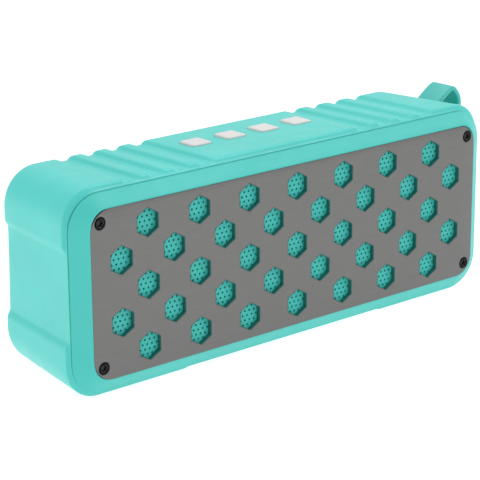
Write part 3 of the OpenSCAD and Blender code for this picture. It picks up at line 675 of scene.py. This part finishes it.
def jacket_ring(depth, inset=0.0):
    """Outline of the jacket with its ribs and pads."""
    skin = block_outline(depth, 0, inset)
    pads = block_outline(depth, 1, inset)
    ring = []
    for (x0, z0), (x1, z1) in zip(skin, pads):
        height = skin_height(x0, z0, depth)
        ring.append((mix(x0, x1, height), mix(z0, z1, height)))
    return ring


def strap_point(u):
    """A point on the middle line of the hanging loop; whole numbers are the points it goes through."""
    last = len(STRAP_PATH) - 1
    i = max(0, min(math.floor(u), last - 1))
    t = u - i
    before, start = Vector(STRAP_PATH[max(i - 1, 0)]), Vector(STRAP_PATH[i])
    end, after = Vector(STRAP_PATH[i + 1]), Vector(STRAP_PATH[min(i + 2, last)])
    return (2 * start + t * (end - before) + t * t * (2 * before - 5 * start + 4 * end - after)
            + t * t * t * (3 * start - before - 3 * end + after)) / 2


def strap_shell(extra):
    """The band of the hanging loop, with rounded edges and ends that flare into the jacket."""
    shell = Shell()
    last = len(STRAP_PATH) - 1
    rings = []
    for k in range(STRAP_STEPS * last + 1):
        u = k / STRAP_STEPS
        along = (strap_point(u + 0.01) - strap_point(u - 0.01)).normalized()
        away = Vector((-along.y, along.x))
        from_end = min(u, last - u)
        half = STRAP_T / 2 + STRAP_FLARE * max(0.0, 1 - 2 * from_end) + extra
        section = rounded_box(STRAP_W / 2 + extra, half, min(STRAP_EDGE_R, half * 0.6), 4)
        middle = strap_point(u)
        rings.append(shell.add((middle.x + away.x * t, FRONT_Y + STRAP_DEPTH + w, middle.y + away.y * t)
                               for w, t in section))
    shell.bridge(*rings)
    shell.cap(rings[0])
    shell.cap(rings[-1])
    return shell


def key_hole(name):
    """The shaft that a key needs through the jacket."""
    low, high = corners(name)
    x, depth = (low.x + high.x) / 2, (low.y + high.y) / 2 - FRONT_Y
    shell = Shell()
    hole = rounded_box(*grown((KEY_HALF, KEY_HALF, KEY_R), KEY_GAP), 5)
    rings = [shell.at_height(hole, x, depth, high.z + reach) for reach in KEY_CUT]
    shell.bridge(*rings)
    shell.cap(rings[0])
    shell.cap(rings[1])
    return shell


def make_jacket():
    """The rubber jacket: rounded front edge, ribbed outside, rear edge, window, and inside."""
    shell = Shell()
    front = PARTING + SLOT_HALF
    edge = [(front, SLOT_FLOOR), (front, 0.12), (front + 0.05, 0.03), (front + 0.13, 0.0)]
    depths = [mix(RAMP_START, RAMP_END, k / 8) for k in range(1, 9)]
    depths += [7, 12, 18, 24, 30, 36, 40]
    left_of_radius = (0.97, 0.82, 0.68, 0.55, 0.42, 0.3, 0.2, 0.12, 0.05, 0.015, 0)
    depths += [BODY_DEPTH - REAR_TOP_R * part for part in left_of_radius]
    rings = [shell.at_depth(jacket_ring(d, inset), d) for d, inset in edge]
    rings += [shell.at_depth(jacket_ring(d), d) for d in depths]
    for grow, depth in ((0.5, BODY_DEPTH), (0.15, BODY_DEPTH - 0.15), (0, BODY_DEPTH - 0.5), (0, LIP)):
        rings.append(shell.at_depth(plain_outline(*grown(WINDOW, grow)), depth))
    for depth in (LIP, SKIRT_END):
        rings.append(shell.at_depth(plain_outline(*CORE, z=MID_Z - CORE_DROP), depth))
    for depth in (SKIRT_END, front):
        rings.append(shell.at_depth(plain_outline(*grown(SKIRT, SKIRT_GAP)), depth))
    shell.bridge(*rings, rings[0])
    jacket = shell.piece("jacket_skin", MATERIALS["jacket_rubber"], "speaker", "jacket_rubber", ["jacket"])
    for name in KEYS:
        cut(jacket, key_hole(name))
    cut(jacket, strap_shell(0.1))


# ---- Keys ----

def make_keys():
    """Four white slabs with softly bevelled edges, on flanges under the jacket."""
    for name, body in KEYS.items():
        low, high = corners(name)
        x, depth = (low.x + high.x) / 2, (low.y + high.y) / 2 - FRONT_Y
        flange_half = (high.x - low.x) / 2
        flange_low = low.z + KEY_FLANGE_Z
        flange_top = flange_low + KEY_FLANGE_T
        shell = Shell()
        stem = rounded_box(*KEY_STEM, 6)
        flange = rounded_box(flange_half, flange_half, KEY_FLANGE_R, 6)
        side = rounded_box(KEY_HALF, KEY_HALF, KEY_R, 6)
        steps = [(stem, low.z), (stem, flange_low), (flange, flange_low), (flange, flange_top),
                 (side, flange_top)]
        rings = [shell.at_height(points, x, depth, z) for points, z in steps]
        for inset, drop in KEY_BEVEL:
            step = rounded_box(KEY_HALF - inset, KEY_HALF - inset, max(KEY_R - inset, 0.15), 6)
            rings.append(shell.at_height(step, x, depth, high.z - drop))
        shell.bridge(*rings)
        shell.cap(rings[0])
        shell.cap(rings[-1])
        shell.piece(name + "_cap", MATERIALS["key_plastic"], body, "key_plastic", [name], 30)


# ---- Front ----

def make_bezel():
    """The sloping bezel round the plate, with the skirt that the jacket grips."""
    shell = Shell()
    rings = []
    for inset, depth in BEZEL_PROFILE:
        x, r = SKIN_HALF_W - inset * BEZEL_WIDEN, SKIN_R - inset
        dip = TOP_EDGE_DROP * (1 - min(inset / BEZEL_CREST, 1))
        rings.append(shell.at_depth(outline(x, x, SKIN_Z0 + inset, SKIN_Z1 - inset - dip, r, r), depth))
    inside = grown(SKIRT, -SKIRT_WALL)
    for size, depth in ((SKIRT, PARTING), (SKIRT, SKIRT_END), (inside, SKIRT_END), (inside, FLOOR_BACK)):
        rings.append(shell.at_depth(plain_outline(*size), depth))
    shell.bridge(*rings, rings[0])
    shell.piece("bezel_ring", MATERIALS["bezel_plastic"], "speaker", "bezel_plastic", ["front_panel"], 32)


def make_pockets():
    """The panel behind the plate: a pocket behind each hexagon, with sound holes in its dished floor. It has
    the bezel's teal plastic, darkened as painted shade for the recess.
    """
    shell = Shell()
    rings = [shell.at_depth(plain_outline(*PANEL), d) for d in (FACE, FLOOR_BACK)]
    shell.bridge(*rings)
    mouths, backs = [], []
    for x, z in hexagon_places():
        walls = [shell.at_depth(moved(hexagon(HEX_FLATS), x, z), FACE),
                 shell.on_dish(moved(hexagon(HEX_FLATS - 0.1), x, z), x, z)]
        shell.bridge(*walls)
        mouths.append(walls[0])
        tubes = []
        for row in range(-2, 3):
            count = 5 - abs(row)
            for i in range(count):
                hx = x + (i - (count - 1) / 2) * HOLE_STEP
                hz = z + row * HOLE_STEP * math.sqrt(3) / 2
                hole = moved(circle(HOLE_R, 10), hx, hz)
                tube = [shell.on_dish(hole, x, z), shell.at_depth(hole, FLOOR_BACK)]
                shell.bridge(*tube)
                tubes.append(tube[0])
                backs.append(tube[1])
        shell.fill(walls[-1], tubes)
    for x, z in screw_places(*PLATE_SCREW):
        tube = [shell.at_depth(moved(circle(PLATE_SCREW_HOLE), x, z), d) for d in (FACE, FLOOR_BACK)]
        shell.bridge(*tube)
        mouths.append(tube[0])
        backs.append(tube[1])
    shell.fill(rings[0], mouths)
    shell.fill(rings[-1], backs)
    shell.piece("pocket_panel", MATERIALS["pocket_shaded_plastic"], "speaker", "bezel_plastic", ["front_panel"], 32)


def make_shade_sleeves():
    """Dark sleeves of painted shade that line the hexagons from the face of the plate down to the pocket
    floors; they stand for the shadow inside each pocket.
    """
    shell = Shell()
    outer, inner, mouth = HEX_FLATS - 0.03, HEX_FLATS - 0.3, 0.08
    for x, z in hexagon_places():
        rings = [shell.at_depth(moved(hexagon(flats), x, z), d)
                 for flats, d in ((outer, FLOOR), (outer, mouth), (inner, mouth + 0.06), (inner, FLOOR))]
        shell.bridge(*rings, rings[0])
    shell.piece("hexagon_shade_sleeves", MATERIALS["shade_sleeve_paint"], "speaker", "bezel_plastic", ["front_panel"], 32)


def make_front_plate():
    """The metal plate, with a fine bevel round its outline and round every hexagon."""
    shell = Shell()
    bevel = 0.16
    rings = []
    for inset, depth in ((bevel * 1.6, 0), (bevel * 0.4, bevel * 0.35), (0, bevel * 1.3), (0, PLATE_T)):
        edge = rounded_box(*grown((PLATE_HALF_W, PLATE_HALF_H, PLATE_R), -inset), 12)
        rings.append(shell.at_depth(moved(edge, 0, PLATE_MID_Z), depth))
    shell.bridge(*rings)
    fronts, backs = [], []
    for x, z in hexagon_places():
        steps = [(HEX_FLATS + 2 * bevel, 0), (HEX_FLATS + bevel * 0.5, bevel * 0.5), (HEX_FLATS, bevel * 1.3),
                 (HEX_FLATS, PLATE_T)]
        walls = [shell.at_depth(moved(hexagon(flats), x, z), d) for flats, d in steps]
        shell.bridge(*walls)
        fronts.append(walls[0])
        backs.append(walls[-1])
    for x, z in screw_places(*PLATE_SCREW):
        steps = [(PLATE_SCREW_R + 0.1, 0), (PLATE_SCREW_R + 0.04, 0.08), (PLATE_SCREW_HOLE, PLATE_T)]
        walls = [shell.at_depth(moved(circle(r, 32), x, z), d) for r, d in steps]
        shell.bridge(*walls)
        fronts.append(walls[0])
        backs.append(walls[-1])
    shell.fill(rings[0], fronts)
    shell.fill(rings[-1], backs)
    shell.piece("plate_face", MATERIALS["plate_metal"], "speaker", "plate_metal", ["front_plate"], 25)


def star(r_out, r_in, count=48):
    """A six-pointed recess with rounded lobes."""
    points = []
    for k in range(count):
        a = math.tau * k / count
        r = mix(r_in, r_out, 0.5 + 0.5 * math.cos(6 * a))
        points.append((r * math.cos(a), r * math.sin(a)))
    return points


def screw_shell(shell, x, z, head_r, face_d, length, shank_r, way=1):
    """One screw with a ring round a star-shaped recess; way is 1 when it points to the rear."""
    scale = head_r / HEAD_R
    rings = []
    for r, d in ((0.9 * shank_r, length + SHANK_TIP), (shank_r, length), (shank_r, HEAD_T)):
        rings.append(shell.at_depth(moved(circle(r, 48), x, z), face_d + way * d))
    for r, d in HEAD_EDGE + HEAD_RING:
        rings.append(shell.at_depth(moved(circle(r * scale, 48), x, z), face_d + way * d))
    for r_out, r_in, d in HEAD_STAR:
        rings.append(shell.at_depth(moved(star(r_out * scale, r_in * scale), x, z), face_d + way * d))
    shell.bridge(*rings)
    shell.cap(rings[0])
    shell.cap(rings[-1])


def make_plate_screws():
    """Four screws that hold the plate, their heads just below its face."""
    shell = Shell()
    low, high = corners("plate_screws")
    for x, z in screw_places(*PLATE_SCREW):
        screw_shell(shell, x, z, PLATE_SCREW_R, 0.03, high.y - low.y - SHANK_SHORT, 1.5)
    shell.piece("plate_screw_set", MATERIALS["black_screw"], "speaker", "black_screw", ["plate_screws"], 30)


# ---- Back ----

def flap_outline(grow):
    """Outline of the flap over the sockets, larger by grow on every side."""
    low, high = corners("port_flap")
    points = rounded_box((high.x - low.x) / 2 + grow, (high.z - low.z) / 2 + grow, FLAP_R + max(grow, 0), 6)
    return moved(points, (low.x + high.x) / 2, (low.z + high.z) / 2)


def make_rear_cover():
    """The back panel behind the jacket's lip, with a bevelled rim, screw recesses and the flap's pocket."""
    shell = Shell()
    core = plain_outline(*grown(CORE, -COVER_GAP), z=MID_Z - CORE_DROP)
    rings = [shell.at_depth(core, d) for d in (COVER_FRONT, LIP)]
    for inset, depth in ((0, LIP), (0, COVER_FACE - 0.4), (0.08, COVER_FACE - 0.1), (0.3, COVER_FACE)):
        rings.append(shell.at_depth(plain_outline(*grown(WINDOW, -COVER_GAP - inset)), depth))
    shell.bridge(*rings)
    face_holes, back_holes = [], []
    for x, z in screw_places(*REAR_SCREW):
        steps = [(REAR_RECESS_R + 0.3, COVER_FACE), (REAR_RECESS_R, COVER_FACE - 0.3), (REAR_RECESS_R, LIP),
                 (REAR_SCREW_HOLE, LIP), (REAR_SCREW_HOLE, COVER_FRONT)]
        walls = [shell.at_depth(moved(circle(r, 32), x, z), d) for r, d in steps]
        shell.bridge(*walls)
        face_holes.append(walls[0])
        back_holes.append(walls[-1])
    flap_low, flap_high = corners("port_flap")
    led = moved(circle(REAR_SCREW_HOLE, 24), LED_X, (flap_low.z + flap_high.z) / 2)
    tube = [shell.at_depth(led, d) for d in (COVER_FACE, COVER_FRONT)]
    shell.bridge(*tube)
    face_holes.append(tube[0])
    back_holes.append(tube[1])
    pocket = [shell.at_depth(flap_outline(POCKET_GAP + grow), d)
              for grow, d in ((0.1, COVER_FACE), (0.0, COVER_FACE - 0.1), (0.0, LIP))]
    shell.bridge(*pocket)
    face_holes.append(pocket[0])
    openings = []
    for x, z, half_w, half_h in (USB_OPENING, CARD_OPENING):
        openings.append(moved(rounded_box(half_w, half_h, OPENING_R, 4), x, z))
    openings.append(moved(circle(AUX_OPENING[2], 32), *AUX_OPENING[:2]))
    floor_holes = []
    for opening in openings:
        tube = [shell.at_depth(opening, d) for d in (LIP, COVER_FRONT)]
        shell.bridge(*tube)
        floor_holes.append(tube[0])
        back_holes.append(tube[1])
    shell.fill(rings[-1], face_holes)
    shell.fill(pocket[-1], floor_holes)
    shell.fill(rings[0], back_holes)
    shell.piece("cover_back", MATERIALS["cover_plastic"], "speaker", "cover_plastic", ["rear_cover"], 30)


def make_rear_screws():
    """Four screws in the recesses of the rear cover, pointing to the front."""
    shell = Shell()
    low, high = corners("rear_screws")
    for x, z in screw_places(*REAR_SCREW):
        screw_shell(shell, x, z, REAR_SCREW_R, high.y - FRONT_Y, high.y - low.y - SHANK_SHORT, 1.1, -1)
    shell.piece("rear_screw_set", MATERIALS["black_screw"], "speaker", "black_screw", ["rear_screws"], 30)


def make_port_flap():
    """The rubber flap over the sockets, with rounded edges and a hollow for the thumb."""
    shell = Shell()
    low, high = corners("port_flap")
    front, back = low.y - FRONT_Y, high.y - FRONT_Y
    edge = [(-0.2, front), (0.0, front + 0.25), (0.0, back - 0.5), (-0.15, back - 0.15), (-0.5, back)]
    rings = [shell.at_depth(flap_outline(grow), d) for grow, d in edge]
    shell.bridge(*rings)
    hollow = []
    for inset, depth in ((0.0, back), (0.12, back - 0.2), (0.4, back - 0.45), (0.9, back - 0.6)):
        thumb = moved(rounded_box(*grown(THUMB, -inset), 6), high.x - THUMB_INSET, (low.z + high.z) / 2)
        hollow.append(shell.at_depth(thumb, depth))
    shell.bridge(*hollow)
    shell.cap(rings[0])
    shell.cap(hollow[-1])
    shell.fill(rings[-1], [hollow[0]])
    shell.piece("flap_cover", MATERIALS["flap_rubber"], "flap", "flap_rubber", ["port_flap"], 30)


def make_strap():
    """The hanging loop on the upper right corner."""
    shell = strap_shell(0.0)
    shell.piece("strap_band", MATERIALS["strap_rubber"], "speaker", "jacket_rubber", ["strap_loop"], 50)


# ---- Studio ----

def make_floor():
    """A wide sheet of pale paper under the speaker."""
    mesh = bpy.data.meshes.new("floor")
    corner_points = [(x * FLOOR_HALF, y * FLOOR_HALF, 0) for x, y in ((-1, -1), (1, -1), (1, 1), (-1, 1))]
    mesh.from_pydata(corner_points, [], [(0, 1, 2, 3)])
    look = Look("floor_paper", 0.9)
    look.colour(look.noise(400, 2.0), (0.3, 0.3, 0.3, 1), (0.34, 0.34, 0.34, 1))
    look.shader.inputs["Emission Color"].default_value = (1, 1, 1, 1)
    look.shader.inputs["Emission Strength"].default_value = FLOOR_GLOW
    mesh.materials.append(look.material)
    floor = bpy.data.objects.new("floor", mesh)
    bpy.context.scene.collection.objects.link(floor)


def area_light(name, place, size, power):
    """A round soft light, in metres and watts, that faces the middle of the speaker."""
    data = bpy.data.lights.new(name, "AREA")
    data.shape = "DISK"
    data.size = size
    data.energy = power
    light = bpy.data.objects.new(name, data)
    light.location = place
    light.rotation_mode = "QUATERNION"
    light.rotation_quaternion = (Vector((0, 0, MID_Z)) * MM - Vector(place)).to_track_quat("-Z", "Y")
    bpy.context.scene.collection.objects.link(light)


def make_studio():
    """A pale floor, an even white sky and four soft lights."""
    make_floor()
    world = bpy.data.worlds.new("studio")
    world.use_nodes = True
    world.node_tree.nodes["Background"].inputs["Color"].default_value = (1, 1, 1, 1)
    world.node_tree.nodes["Background"].inputs["Strength"].default_value = SKY_STRENGTH
    bpy.context.scene.world = world
    area_light("top_light", (0.3, 0.9, 2.3), size=1.8, power=19)
    area_light("left_light", (-2.2, 1.2, 0.5), size=2.2, power=12)
    area_light("right_light", (2.3, 0.6, 1.1), size=1.4, power=12)
    area_light("front_light", (1.5, -1.5, 2.1), size=1.2, power=19)
    bpy.context.scene.view_settings.view_transform = "Standard"


def make_camera():
    """The photograph's view: from the front left, a little above."""
    target = Vector((0, FRONT_Y, MID_Z)) * MM
    azimuth, elevation, roll = (math.radians(a) for a in (VIEW_AZIMUTH, VIEW_ELEVATION, VIEW_ROLL))
    direction = Vector((math.sin(azimuth) * math.cos(elevation), math.cos(azimuth) * math.cos(elevation),
                        -math.sin(elevation)))
    data = bpy.data.cameras.new("camera")
    data.lens = LENS
    data.sensor_width = SENSOR
    camera = bpy.data.objects.new("camera", data)
    camera.location = target + Vector(VIEW_FROM)
    camera.rotation_mode = "QUATERNION"
    camera.rotation_quaternion = direction.to_track_quat("-Z", "Y") @ Quaternion((0, 0, 1), roll)
    bpy.context.scene.collection.objects.link(camera)
    bpy.context.scene.camera = camera


make_camera()
make_studio()
dress_cad_nodes()
make_jacket()
make_keys()
make_bezel()
make_pockets()
make_shade_sleeves()
make_front_plate()
make_plate_screws()
make_rear_cover()
make_rear_screws()
make_port_flap()
make_strap()
